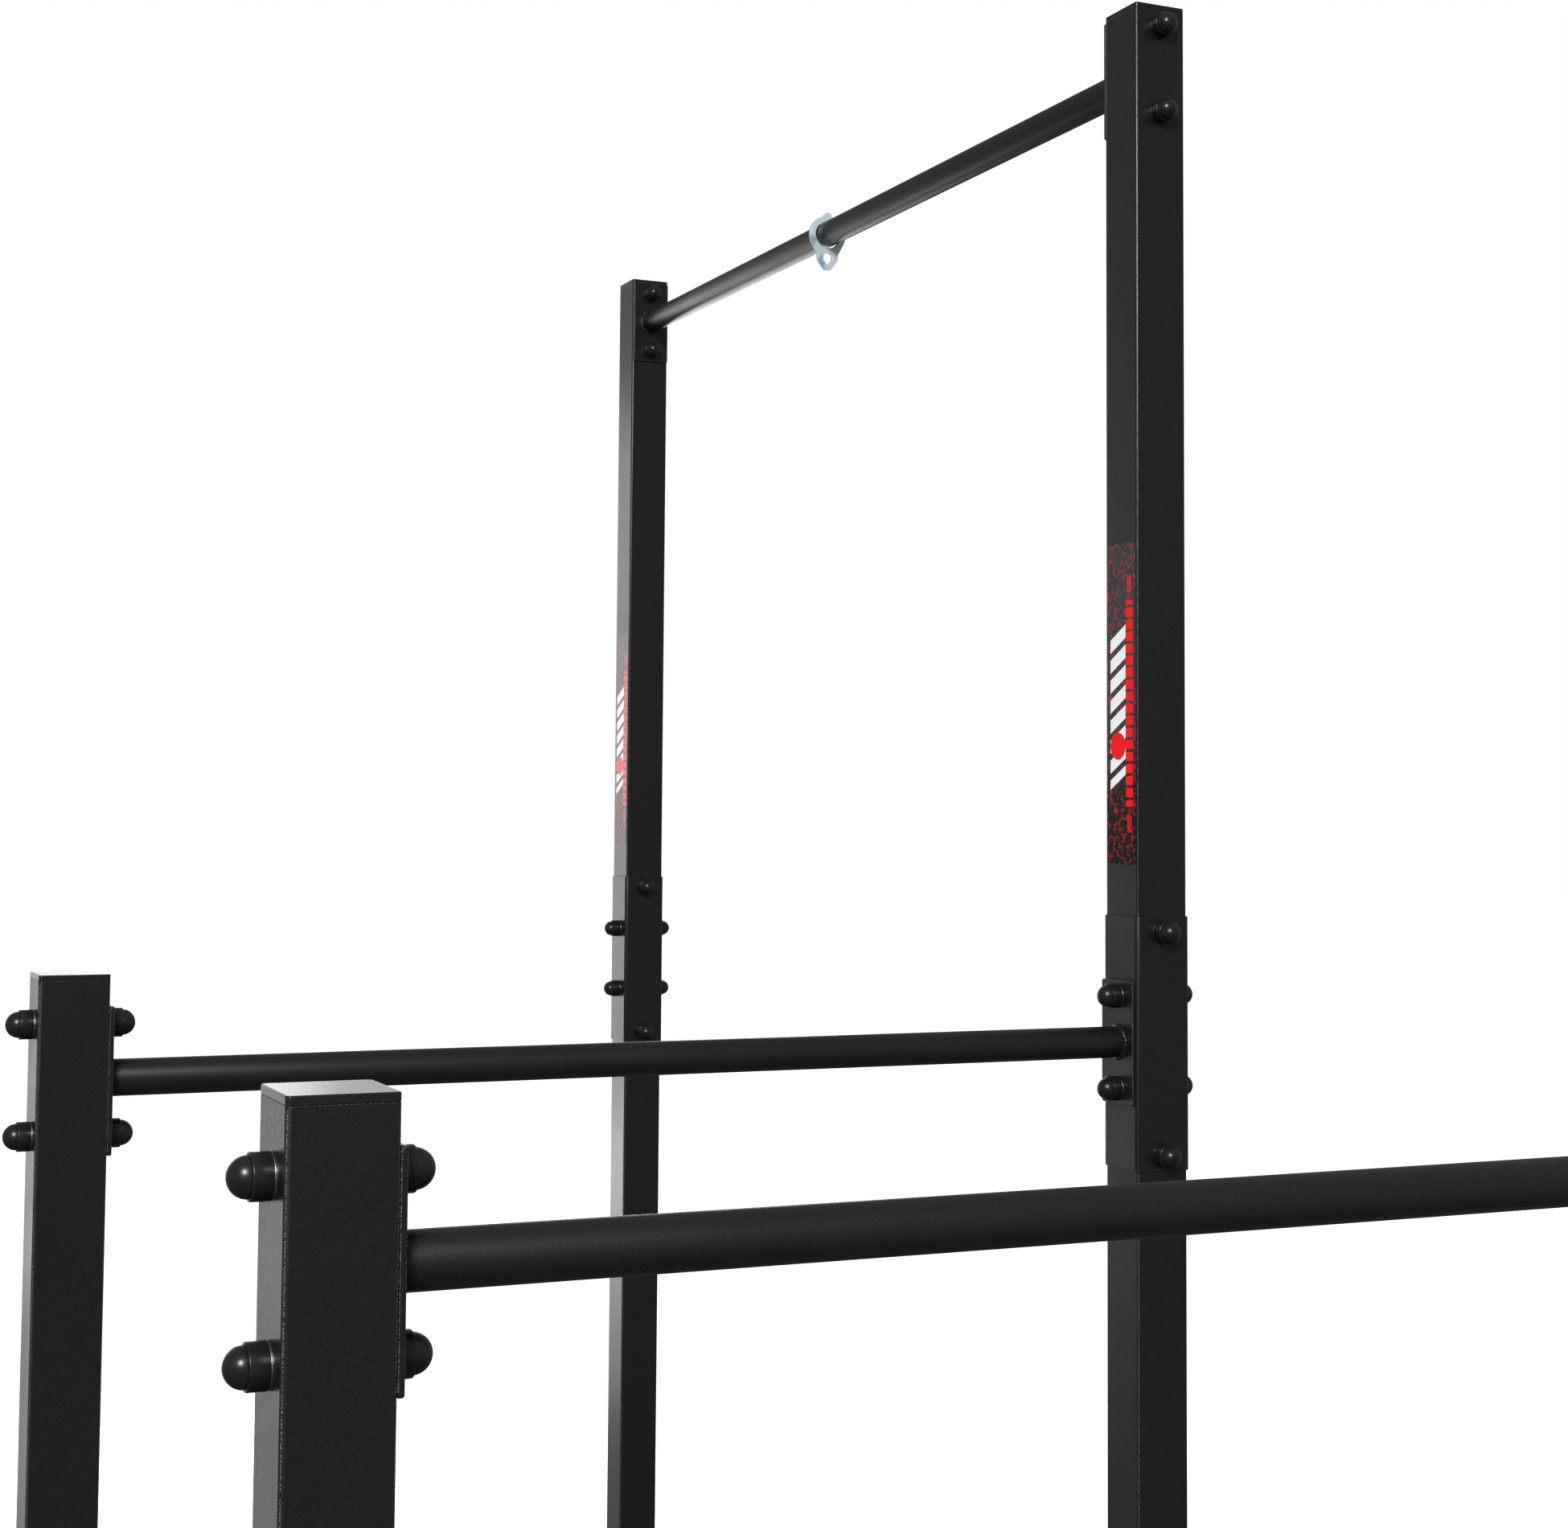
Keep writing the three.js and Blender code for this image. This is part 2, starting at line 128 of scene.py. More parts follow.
class Nodes:
    """A node tree, with short calls for the nodes used here. Patterns are laid out by self.place."""

    def __init__(self, tree, coordinates):
        self.nodes = tree.nodes
        self.links = tree.links
        self.place = self.nodes.new("ShaderNodeTexCoord").outputs[coordinates]

    def put(self, value, socket):
        """Links an output, or sets a plain value."""
        if isinstance(value, bpy.types.NodeSocket):
            self.links.new(value, socket)
        else:
            socket.default_value = value

    def math(self, operation, a, b=0.0):
        node = self.nodes.new("ShaderNodeMath")
        node.operation = operation
        self.put(a, node.inputs[0])
        self.put(b, node.inputs[1])
        return node.outputs[0]

    def noise(self, scale, detail=2.0, roughness=0.5):
        node = self.nodes.new("ShaderNodeTexNoise")
        node.inputs["Scale"].default_value = scale
        node.inputs["Detail"].default_value = detail
        node.inputs["Roughness"].default_value = roughness
        self.links.new(self.place, node.inputs["Vector"])
        return node.outputs["Fac"]

    def cell_borders(self, scale, place):
        """The distance to the nearest border of irregular cells."""
        node = self.nodes.new("ShaderNodeTexVoronoi")
        node.feature = "DISTANCE_TO_EDGE"
        node.inputs["Scale"].default_value = scale
        self.links.new(place, node.inputs["Vector"])
        return node.outputs["Distance"]

    def split(self, vector):
        node = self.nodes.new("ShaderNodeSeparateXYZ")
        self.links.new(vector, node.inputs[0])
        return node.outputs["X"], node.outputs["Y"], node.outputs["Z"]

    def remap(self, value, low, high, to_low=0.0, to_high=1.0):
        """A smooth step from low to high, stretched over to_low and to_high."""
        node = self.nodes.new("ShaderNodeMapRange")
        node.interpolation_type = "SMOOTHSTEP"
        self.links.new(value, node.inputs["Value"])
        node.inputs["From Min"].default_value = low
        node.inputs["From Max"].default_value = high
        node.inputs["To Min"].default_value = to_low
        node.inputs["To Max"].default_value = to_high
        return node.outputs["Result"]

    def mix(self, share, first, second):
        """Colour between first and second."""
        node = self.nodes.new("ShaderNodeMix")
        node.data_type = "RGBA"
        self.put(share, node.inputs["Factor"])
        for value, number in ((first, COLOUR_A), (second, COLOUR_B)):
            plain = (*value, 1.0) if isinstance(value, tuple) else value
            self.put(plain, node.inputs[number])
        return node.outputs[COLOUR_RESULT]


class Shader(Nodes):
    """A material's nodes around its Principled shader."""

    def __init__(self, name, **sockets):
        self.material = bpy.data.materials.new(name)
        self.material.use_nodes = True
        super().__init__(self.material.node_tree, "Object")
        self.principled = self.nodes["Principled BSDF"]
        for socket, value in sockets.items():
            self.principled.inputs[socket.replace("_", " ").title()].default_value = value

    def edge_rounding(self):
        """Above 0 on the narrow faces that round an edge, 1 at the middle of the rounding."""
        node = self.nodes.new("ShaderNodeAttribute")
        node.attribute_name = "edge"
        return node.outputs["Fac"]

    def bump(self, height, depth, under=None):
        node = self.nodes.new("ShaderNodeBump")
        node.inputs["Distance"].default_value = depth
        self.links.new(height, node.inputs["Height"])
        if under is not None:
            self.links.new(under, node.inputs["Normal"])
        return node.outputs["Normal"]

    def finish(self, colour=None, roughness=None, normal=None):
        for value, socket in ((colour, "Base Color"), (roughness, "Roughness"), (normal, "Normal")):
            if value is not None:
                self.put(value, self.principled.inputs[socket])
        return self.material


# ---------------------------------------------------------------- materials
def powder_coat(name, texture_depth, glint_and_wear_strength, roughness_low, roughness_high):
    """Black powder coat: a fine leathery texture over a weak wave, and paler speckles along the edges, a
    painted glint of light on the roundings that also reads as edge wear. The third argument is how strong
    the speckles are."""
    s = Shader(name)
    wave = s.noise(170, detail=1)
    grain = s.noise(820, detail=3, roughness=0.62)
    cloud = s.noise(7, detail=3)
    speckle = s.remap(s.noise(1800, detail=1), 0.5, 0.6)
    # The pale speckles on edge roundings are a painted highlight, the glint of light on rounded edges, and
    # partly edge wear.
    edge_wear_and_glint = s.math("MULTIPLY", s.remap(s.edge_rounding(), 0.9, 1.0), speckle)
    shade = s.math("ADD", s.math("MULTIPLY", cloud, 0.3), s.remap(grain, 0.4, 0.6, 0.0, 0.7))
    colour = s.mix(shade, (0.007, 0.007, 0.0075), (0.0125, 0.0125, 0.013))
    colour = s.mix(s.math("MULTIPLY", edge_wear_and_glint, glint_and_wear_strength), colour, (0.42, 0.42, 0.425))
    rough = s.remap(s.math("MULTIPLY", cloud, grain), 0.1, 0.4, roughness_low, roughness_high)
    normal = s.bump(wave, depth=texture_depth)
    normal = s.bump(grain, depth=texture_depth, under=normal)
    return s.finish(colour, rough, normal)


def weld_coat():
    """The same coat over a weld bead: glossier, because it pools in the ripples."""
    s = Shader("weld_coat")
    grain = s.noise(900, detail=2)
    colour = s.mix(s.noise(300), (0.009, 0.009, 0.0095), (0.018, 0.018, 0.019))
    rough = s.remap(grain, 0.3, 0.7, 0.14, 0.26)
    return s.finish(colour, rough, s.bump(grain, depth=0.00004))


def moulded_plastic(name, low, high, roughness_low, roughness_high, depth):
    """Black moulded plastic with a faint flow pattern and a fine mould texture."""
    s = Shader(name)
    flow = s.noise(25, detail=2)
    fine = s.noise(1400, detail=2)
    colour = s.mix(flow, low, high)
    edge = s.math("MULTIPLY", s.edge_rounding(), s.remap(s.noise(420), 0.5, 0.7))
    colour = s.mix(s.math("MULTIPLY", edge, 0.3), colour, (0.05, 0.05, 0.052))
    rough = s.remap(fine, 0.25, 0.75, roughness_low, roughness_high)
    return s.finish(colour, rough, s.bump(fine, depth=depth))


def zinc_plate():
    """Bright zinc with the bluish passivation of plated hardware, in soft zones and fine grains."""
    s = Shader("zinc_plate", metallic=0.15)
    zones = s.remap(s.noise(30, detail=3), 0.32, 0.46)
    fine = s.noise(1600, detail=2)
    colour = s.mix(zones, (0.24, 0.45, 0.6), (0.76, 0.92, 0.99))
    colour = s.mix(s.math("MULTIPLY", s.edge_rounding(), 0.6), colour, (0.93, 0.97, 1.0))
    rough = s.remap(fine, 0.3, 0.7, 0.22, 0.38)
    return s.finish(colour, rough, s.bump(fine, depth=0.00001))


def raw_steel():
    """Plated steel inside the covers: bolt, nut and washer under the plastic."""
    s = Shader("bolt_steel", metallic=1.0)
    zones = s.noise(120, detail=3)
    fine = s.noise(2000, detail=2)
    colour = s.mix(zones, (0.42, 0.42, 0.40), (0.62, 0.61, 0.58))
    return s.finish(colour, s.remap(fine, 0.3, 0.7, 0.25, 0.45), s.bump(fine, depth=0.00001))


def sticker_print(width, height):
    """A generic print on film: slate ground, darker downwards, with fine red cracks. On it are a column
    of white slanted bars, a red disc and dashed red lines. The print glows a little, as painted light that
    brightens it."""
    s = Shader("sticker_print")
    s.principled.inputs["Specular IOR Level"].default_value = 0.32
    across, _, up = s.split(s.place)

    def between(value, low, high, soft=0.00008):
        rise = s.remap(value, low - soft, low + soft)
        fall = s.remap(value, high - soft, high + soft, 1.0, 0.0)
        return s.math("MULTIPLY", rise, fall)

    def stripes(value, pitch, share):
        """1 on the first share of every pitch."""
        return s.math("LESS_THAN", s.math("FRACT", s.math("DIVIDE", value, pitch)), share)

    warp = s.math("MULTIPLY", s.math("SUBTRACT", s.noise(110, detail=5), 0.5), 0.016)
    combine = s.nodes.new("ShaderNodeCombineXYZ")
    s.put(s.math("ADD", across, warp), combine.inputs["X"])
    s.put(s.math("ADD", up, warp), combine.inputs["Z"])
    edge = s.cell_borders(125, combine.outputs[0])
    vein = s.remap(edge, 0.015, 0.06, 1.0, 0.0)
    patches = s.remap(s.noise(130, detail=3), 0.45, 0.57)
    cracks = s.math("MULTIPLY", vein, patches)

    lean = s.math("SUBTRACT", up, s.math("MULTIPLY", across, 0.55))
    bars = stripes(s.math("ADD", lean, height), 0.021, 0.66)
    bars = s.math("MULTIPLY", bars, between(across, -0.37 * width, 0.16 * width))
    bars = s.math("MULTIPLY", bars, between(lean, -0.235 * height, 0.235 * height))
    beside_disc = s.math("SUBTRACT", across, -0.105 * width)
    above_disc = s.math("SUBTRACT", up, -0.132 * height)
    squares = s.math("ADD", s.math("POWER", beside_disc, 2.0), s.math("POWER", above_disc, 2.0))
    disc = s.remap(s.math("SQRT", squares), 0.262 * width, 0.268 * width, 1.0, 0.0)

    dashes = stripes(s.math("ADD", up, height), 0.0125, 0.74)
    dashes = s.math("MULTIPLY", dashes, between(across, 0.17 * width, 0.41 * width))
    dashes = s.math("MULTIPLY", dashes, between(up, -0.32 * height, 0.32 * height))
    upper_tail = between(up, 0.345 * height, 0.4 * height)
    lower_tail = between(up, -0.4 * height, -0.345 * height)
    inner_stroke = between(across, 0.22 * width, 0.265 * width)
    outer_stroke = between(across, 0.3 * width, 0.345 * width)
    tail = s.math("ADD", upper_tail, lower_tail)
    strokes = s.math("ADD", inner_stroke, outer_stroke)
    tails = s.math("MULTIPLY", tail, strokes)

    cloth = s.noise(900, detail=2)
    shade = s.math("ADD", s.math("DIVIDE", up, height), s.math("MULTIPLY", s.noise(24, detail=4), 0.3))
    colour = s.mix(s.remap(shade, -0.3, 0.2), (0.0005, 0.001, 0.001), (0.032, 0.041, 0.041))
    red = (0.9, 0.003, 0.004)
    colour = s.mix(cracks, colour, (0.6, 0.004, 0.006))
    colour = s.mix(s.math("MAXIMUM", dashes, tails), colour, red)
    colour = s.mix(bars, colour, (0.9, 0.9, 0.9))
    colour = s.mix(disc, colour, red)
    # The print's glow is painted light, not a lamp: it brightens the inks and the ground.
    s.put(colour, s.principled.inputs["Emission Color"])
    s.put(0.35, s.principled.inputs["Emission Strength"])
    rough = s.remap(cloth, 0.3, 0.7, 0.18, 0.25)
    return s.finish(colour, rough, s.bump(cloth, depth=0.00002))


STICKER_LO, STICKER_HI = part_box("sticker_left")
STICKER_SIZE = STICKER_HI - STICKER_LO

# The third number is the strength of the painted edge glint and wear, weaker on the sleeves.
POST_COAT = powder_coat("post_coat", 0.00008, 0.6, 0.28, 0.36)
SLEEVE_COAT = powder_coat("sleeve_coat", 0.00008, 0.12, 0.28, 0.36)
BAR_COAT = powder_coat("bar_coat", 0.00003, 0.3, 0.36, 0.44)
WELD_COAT = weld_coat()
CAP_LOW, CAP_HIGH = (0.009, 0.009, 0.009), (0.013, 0.013, 0.013)
CAP_PLASTIC = moulded_plastic("cap_plastic", CAP_LOW, CAP_HIGH, 0.25, 0.3, 0.00001)
COVER_LOW, COVER_HIGH = (0.01, 0.01, 0.0105), (0.013, 0.013, 0.0135)
COVER_PLASTIC = moulded_plastic("cover_plastic", COVER_LOW, COVER_HIGH, 0.27, 0.32, 0.000002)
ZINC = zinc_plate()
STEEL = raw_steel()
PRINT = sticker_print(STICKER_SIZE.x, STICKER_SIZE.z)

COAT_SLOT = "frame_coat"
CAP_SLOT = "end_cap_plastic"
COVER_SLOT = "bolt_cover_plastic"
ZINC_SLOT = "zinc_plate"
STICKER_SLOT = "sticker_print"


# ---------------------------------------------------------------- mesh helpers
CORNER_STEPS = 12
ROUND_SIDES = 72
EDGE_STEPS = 3
SOFT_STEPS = 6
SMOOTH_BELOW = math.radians(40)
FLAT_BELOW = math.radians(0.5)
ROUNDING_ANGLE = math.radians(6)
ROUNDING_WIDTH = 3 * MM
SMALLEST_CORNER = 0.05 * MM


def arc(centre, radius, start, end, steps):
    """Points on an arc in the plane, angles in radians, both ends included."""
    angles = [start + (end - start) * i / steps for i in range(steps + 1)]
    return [(centre[0] + radius * math.cos(a), centre[1] + radius * math.sin(a)) for a in angles]


def rounded_rect(width, height, radius):
    x, y = width / 2 - radius, height / 2 - radius
    quarter = math.pi / 2
    points = []
    for i, corner in enumerate(((x, y), (-x, y), (-x, -y), (x, -y))):
        points += arc(corner, radius, i * quarter, (i + 1) * quarter, CORNER_STEPS)
    return points


def square(side, corner):
    """A rounded square outline that can be drawn smaller by an inset."""

    def outline(inset=0.0):
        drawn = side - 2 * inset
        return rounded_rect(drawn, drawn, max(corner - inset, SMALLEST_CORNER))

    return outline


def circle(radius, sides=ROUND_SIDES):
    return lambda inset=0.0: arc((0, 0), radius - inset, 0, 2 * math.pi * (1 - 1 / sides), sides - 1)


def ring(outline, z):
    return [Vector((x, y, z)) for x, y in outline]


def rounded_end(outline, z, towards, edge):
    """Rings that turn an outline's side into its flat end at height z; towards is +1 for a top."""
    rings = []
    for i in range(EDGE_STEPS + 1):
        angle = math.pi / 2 * i / EDGE_STEPS
        inset = edge * (1 - math.cos(angle))
        rings.append(ring(outline(inset), z - towards * edge * (1 - math.sin(angle))))
    return rings


def mark_edges(bm):
    """Sets the face attribute 'edge' on narrow faces that round an edge, 1 for a face turned halfway."""
    layer = bm.faces.layers.float.new("edge")
    for face in bm.faces:
        sides = sorted(face.edges, key=lambda side: side.calc_length())[-2:]
        rounding = len(face.edges) == 4 and all(side.calc_face_angle(0) > ROUNDING_ANGLE for side in sides)
        width = face.calc_area() / sides[-1].calc_length()
        _, second, largest = sorted(abs(part) for part in face.normal)
        face[layer] = 2 * second * largest if rounding and width < ROUNDING_WIDTH else 0.0


def is_flat(face):
    """True for a wide face and for one level with a neighbour. The others are parts of roundings."""
    wide = face.calc_area() / max(side.calc_length() for side in face.edges) > ROUNDING_WIDTH
    return wide or any(abs(side.calc_face_angle(1)) < FLAT_BELOW for side in face.edges)


def mesh_of(bm, name, material):
    """Turns a bmesh into a mesh with its edge marks, flat areas shaded flat and roundings smooth."""
    bmesh.ops.remove_doubles(bm, verts=bm.verts, dist=1e-7)
    loose = [edge for edge in bm.edges if not edge.link_faces]
    bmesh.ops.delete(bm, geom=loose, context="EDGES")
    bmesh.ops.recalc_face_normals(bm, faces=bm.faces)
    mark_edges(bm)
    smooth = [not is_flat(face) for face in bm.faces]
    mesh = bpy.data.meshes.new(name)
    bm.to_mesh(mesh)
    bm.free()
    mesh.set_sharp_from_angle(angle=SMOOTH_BELOW)
    mesh.polygons.foreach_set("use_smooth", smooth)
    mesh.materials.append(material)
    return mesh


def add_loft(bm, rings, wrap=False):
    """Quads between rings of equal size. The last ring joins the first, or both ends get a face."""
    made = [[bm.verts.new(p) for p in points] for points in rings]
    count = len(made[0])
    pairs = list(zip(made, made[1:]))
    if wrap:
        pairs.append((made[-1], made[0]))
    for below, above in pairs:
        for i in range(count):
            j = (i + 1) % count
            bm.faces.new((below[i], below[j], above[j], above[i]))
    if not wrap:
        bm.faces.new(list(reversed(made[0])))
        bm.faces.new(made[-1])


def loft(name, rings, material, wrap=False):
    bm = bmesh.new()
    add_loft(bm, rings, wrap)
    return mesh_of(bm, name, material)


def tube(name, outer, inner, bottom, top, material, edge=SHEET_EDGE):
    """A tube along Z with rounded rims, between an outer and an inner outline."""
    rings = list(reversed(rounded_end(outer, bottom, -1, edge)))
    rings += rounded_end(outer, top, 1, edge)
    rings += list(reversed(rounded_end(lambda inset: inner(-inset), top, 1, edge)))
    rings += rounded_end(lambda inset: inner(-inset), bottom, -1, edge)
    return loft(name, rings, material, wrap=True)


def plate(name, outline, holes, thickness, material, edge=PLATE_EDGE):
    """A flat plate on z = 0..thickness with rounded edges, cut by holes."""
    curve = bpy.data.curves.new(name, "CURVE")
    curve.dimensions = "2D"
    curve.fill_mode = "BOTH"
    curve.extrude = thickness / 2 - edge
    curve.bevel_depth = edge
    curve.bevel_resolution = 2
    curve.offset = -edge
    for points in (outline, *holes):
        spline = curve.splines.new("POLY")
        spline.points.add(len(points) - 1)
        spline.use_cyclic_u = True
        for point, (x, y) in zip(spline.points, points):
            point.co = (x, y, 0, 1)
    holder = bpy.data.objects.new(name, curve)
    bpy.context.scene.collection.objects.link(holder)
    bpy.context.view_layer.update()
    flat = bpy.data.meshes.new_from_object(holder)
    bpy.data.objects.remove(holder)
    bpy.data.curves.remove(curve)
    bm = bmesh.new()
    bm.from_mesh(flat)
    bpy.data.meshes.remove(flat)
    bmesh.ops.translate(bm, verts=bm.verts, vec=(0, 0, thickness / 2))
    return mesh_of(bm, name, material)


def hole(radius, x=0.0, y=0.0, sides=40):
    return [(x + dx, y + dy) for dx, dy in reversed(circle(radius, sides)())]


def weld_bead(name, path, leg, ripple_pitch=3.6 * MM):
    """A fillet bead on z = 0 round a closed path, laid in overlapping ripples of uneven length and size.
    path is a list of (point, outward direction) pairs in the plane, evenly spaced."""
    rng = random.Random(name)
    step = (Vector(path[1][0]) - Vector(path[0][0])).length
    length = step * len(path)
    borders = [0.0]
    while borders[-1] < length - 2 * ripple_pitch:
        borders.append(borders[-1] + ripple_pitch * rng.uniform(0.6, 1.5))
    borders.append(length)
    sizes = [(rng.uniform(0.75, 1.05), rng.uniform(0.7, 1.0)) for _ in borders]
    sizes[-1] = sizes[0]
    rings = []
    which = 0
    for i, (point, out) in enumerate(path):
        while i * step >= borders[which + 1]:
            which += 1
        share = (i * step - borders[which]) / (borders[which + 1] - borders[which])
        crest = 0.84 + 0.16 * math.sin(math.pi * share) ** 0.6
        before, after = sizes[which], sizes[which + 1]
        wide, high = [leg * crest * (a * (1 - share) + b * share) for a, b in zip(before, after)]
        section = [(-HIDDEN, -HIDDEN), (wide, -HIDDEN)]
        section += [(wide * math.cos(a), high * math.sin(a)) for a in (0.12, 0.45, 0.785, 1.12, 1.45)]
        section += [(-HIDDEN, high)]
        rings.append([Vector((point[0] + out[0] * r, point[1] + out[1] * r, z)) for r, z in section])
    return loft(name, rings, WELD_COAT, wrap=True)


def evenly(outline, spacing):
    """Points every spacing along a closed outline, each with its outward direction."""
    points = [Vector(p) for p in outline]
    loop = points + points[:1]
    lengths = [(b - a).length for a, b in zip(loop, loop[1:])]
    count = round(sum(lengths) / spacing)
    result = []
    index, passed = 0, 0.0
    for i in range(count):
        target = sum(lengths) * i / count
        while passed + lengths[index] < target:
            passed += lengths[index]
            index += 1
        along = loop[index + 1] - loop[index]
        place = loop[index] + along * ((target - passed) / lengths[index])
        out = Vector((along.y, -along.x)).normalized()
        result.append((place, out))
    return result


def place_at(x, y, z, towards="+Z"):
    """The matrix that puts a piece's own Z axis along a frame axis, at a point."""
    turns = {
        "+Z": Matrix.Identity(4),
        "-Z": Matrix.Rotation(math.pi, 4, "X"),
        "+X": Matrix.Rotation(math.pi / 2, 4, "Z") @ Matrix.Rotation(math.pi / 2, 4, "X"),
        "-X": Matrix.Rotation(-math.pi / 2, 4, "Z") @ Matrix.Rotation(math.pi / 2, 4, "X"),
        "+Y": Matrix.Rotation(math.pi, 4, "Z") @ Matrix.Rotation(math.pi / 2, 4, "X"),
        "-Y": Matrix.Rotation(math.pi / 2, 4, "X"),
    }
    return Matrix.Translation((x, y, z)) @ turns[towards]


def piece(name, mesh, place, slot, *nodes, body="frame"):
    """One visible piece, in place, on its body, standing for the CAD nodes named."""
    obj = bpy.data.objects.new(name, mesh)
    bpy.context.scene.collection.objects.link(obj)
    obj.matrix_world = place
    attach(obj, body)
    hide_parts(*nodes)
    return obj


# ---------------------------------------------------------------- posts
def post_tube(name, bottom, top, x, y, node):
    mesh = tube(
        name,
        square(POST_SIDE, POST_CORNER),
        square(POST_SIDE - 2 * POST_WALL, POST_CORNER - POST_WALL),
        0,
        top - bottom,
        POST_COAT,
    )
    piece(name, mesh, place_at(x, y, bottom), COAT_SLOT, node)


def base_mesh():
    offset = ANCHOR_PITCH / 2
    corners = [(x, y) for x in (-offset, offset) for y in (-offset, offset)]
    outline = rounded_rect(BASE_SIDE, BASE_SIDE, BASE_CORNER)
    holes = [hole(ANCHOR_RADIUS, x, y) for x, y in corners]
    return plate("base_plate", outline, holes, BASE_THICKNESS, POST_COAT)


def make_posts():
    base = base_mesh()
    foot = evenly(rounded_rect(POST_SIDE, POST_SIDE, POST_CORNER), BASE_WELD_STEP)
    seats = {
        "tall_post_left_lower": (X_LEFT, Y_TALL, JOINT_Z),
        "tall_post_right_lower": (X_RIGHT, Y_TALL, JOINT_Z),
        "short_post_fixed": (X_RIGHT, Y_SHORT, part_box("short_post_fixed")[1].z),
        "short_post_free_front": (X_FREE, Y_SHORT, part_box("short_post_free_front")[1].z),
        "short_post_free_rear": (X_FREE, Y_TALL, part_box("short_post_free_rear")[1].z),
    }
    for node, (x, y, top) in seats.items():
        post_tube(f"{node}_tube", BASE_THICKNESS, top, x, y, node)
        piece(f"{node}_base_plate", base, place_at(x, y, 0), COAT_SLOT, node)
        bead = weld_bead(f"{node}_base_weld", foot, BASE_WELD_LEG)
        piece(f"{node}_base_weld", bead, place_at(x, y, BASE_THICKNESS), COAT_SLOT, node)
    for side, x in (("left", X_LEFT), ("right", X_RIGHT)):
        node = f"tall_post_{side}_upper"
        post_tube(f"{node}_tube", JOINT_Z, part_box(node)[1].z, x, Y_TALL, node)


def make_sleeves():
    for side, x in (("left", X_LEFT), ("right", X_RIGHT)):
        node = f"coupler_sleeve_{side}"
        lo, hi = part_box(node)
        mesh = tube(
            f"{node}_wall",
            square(2 * HALF_SLEEVE, SLEEVE_CORNER),
            square(2 * (HALF_SLEEVE - SLEEVE_WALL), SLEEVE_CORNER - SLEEVE_WALL),
            0,
            hi.z - lo.z,
            SLEEVE_COAT,
        )
        piece(f"{node}_wall", mesh, place_at(x, Y_TALL, lo.z), COAT_SLOT, node)


# ---------------------------------------------------------------- end caps
def cap_mesh():
    """A flat lid with a softened top edge and a shadow gap under it, and the plug inside the tube."""
    lid_edge = 0.8 * MM
    gap_edge = 0.5 * MM
    lid = square(POST_SIDE, POST_CORNER)
    plug_side = POST_SIDE - 2 * (POST_WALL + CAP_PLUG_GAP)
    plug = square(plug_side, CAP_PLUG_CORNER)
    mouth = square(plug_side - 2 * CAP_PLUG_WALL, CAP_PLUG_CORNER)
    floor, chamfer, chamfer_height = 0.5 * MM, 0.6 * MM, 1.5 * MM
    # The plug's mouth is closed under the lid, so the loft starts there.
    rings = [ring(mouth(), -floor), ring(mouth(), -CAP_PLUG_DEPTH)]
    rings += [ring(plug(chamfer), -CAP_PLUG_DEPTH), ring(plug(), chamfer_height - CAP_PLUG_DEPTH)]
    rings += [ring(plug(), 0), ring(lid(gap_edge), 0), ring(lid(), gap_edge)]
    rings += rounded_end(lid, CAP_LIP, 1, lid_edge)
    return loft("end_cap", rings, CAP_PLASTIC)


def make_caps():
    mesh = cap_mesh()
    for which in ("tall_left", "tall_right", "short_fixed", "short_free_front", "short_free_rear"):
        node = f"end_cap_{which}"
        lo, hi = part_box(node)
        centre = (lo + hi) / 2
        piece(f"{node}_lid", mesh, place_at(centre.x, centre.y, hi.z - CAP_LIP), CAP_SLOT, node)


# ---------------------------------------------------------------- bars
def make_bar(node, axis, radius, bolt_pitch):
    lo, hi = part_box(node)
    centre = (lo + hi) / 2
    start = [centre.x, centre.y, centre.z]
    end = list(start)
    index = "XYZ".index(axis)
    start[index], end[index] = lo[index], hi[index]
    length = hi[index] - lo[index]

    inner = FLANGE_THICKNESS - HIDDEN
    outside, inside = circle(radius), circle(radius - BAR_WALL)
    pipe = tube(f"{node}_tube", outside, inside, inner, length - inner, BAR_COAT)
    piece(f"{node}_tube", pipe, place_at(*start, f"+{axis}"), COAT_SLOT, node)

    # A turned piece's own Y axis is the frame's Z, so the bolt holes are one above the other.
    outline = rounded_rect(FLANGE_WIDTH, FLANGE_HEIGHT, FLANGE_CORNER)
    holes = [hole(BOLT_HOLE_RADIUS, 0, y) for y in (bolt_pitch / 2, -bolt_pitch / 2)]
    holes.append(hole(VENT_RADIUS))
    flange = plate(f"{node}_flange", outline, holes, FLANGE_THICKNESS, POST_COAT, FLANGE_EDGE)
    around = evenly(circle(radius)(), WELD_STEP)
    for end_name, point, towards in (("near", start, "+"), ("far", end, "-")):
        where = place_at(*point, f"{towards}{axis}")
        piece(f"{node}_{end_name}_flange", flange, where, COAT_SLOT, node)
        bead = weld_bead(f"{node}_{end_name}_weld", around, WELD_LEG)
        lifted = where @ Matrix.Translation((0, 0, FLANGE_THICKNESS))
        piece(f"{node}_{end_name}_weld", bead, lifted, COAT_SLOT, node)


